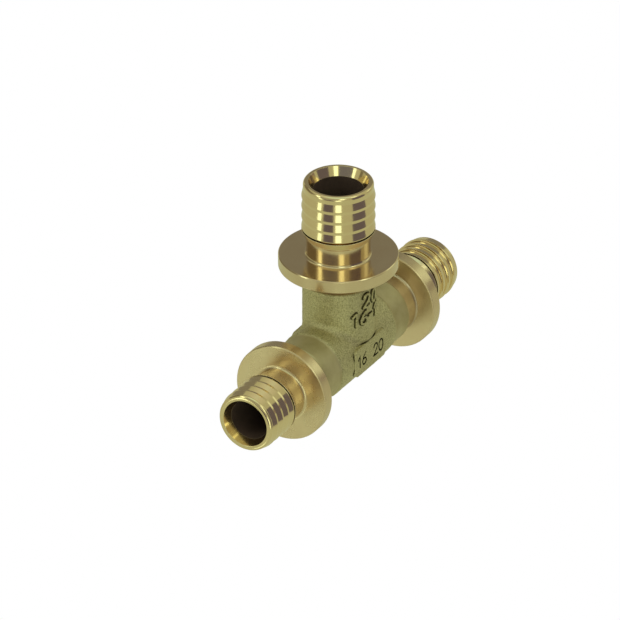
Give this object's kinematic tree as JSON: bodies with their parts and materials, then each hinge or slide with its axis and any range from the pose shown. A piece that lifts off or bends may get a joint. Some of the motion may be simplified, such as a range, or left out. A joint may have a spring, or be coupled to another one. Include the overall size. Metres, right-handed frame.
{
  "type": "reducing tee pipe fitting",
  "caption": "Brass reducing tee with ribbed spigots and stop collars for expanded plastic pipe, with a larger branch standing on a straight run.",
  "frame": {"origin": "the point where the run axis and the branch axis cross, at the middle of the run", "axes": "+X along the run towards the right-hand spigot, +Z along the branch towards its mouth, +Y across the fitting, through the two flat pads"},
  "size_m": [0.083, 0.027, 0.0534],
  "materials": {
    "forged_brass": "raw forged and shot-blasted",
    "turned_brass": "turned, with fine concentric marks",
    "ribbed_brass": "turned bright"
  },
  "bodies": {
    "root": {"tee_body": "forged_brass", "left_collar": "turned_brass", "right_collar": "turned_brass", "branch_collar": "turned_brass", "left_spigot": "ribbed_brass", "right_spigot": "ribbed_brass", "branch_spigot": "ribbed_brass"}
  },
  "joints": []
}
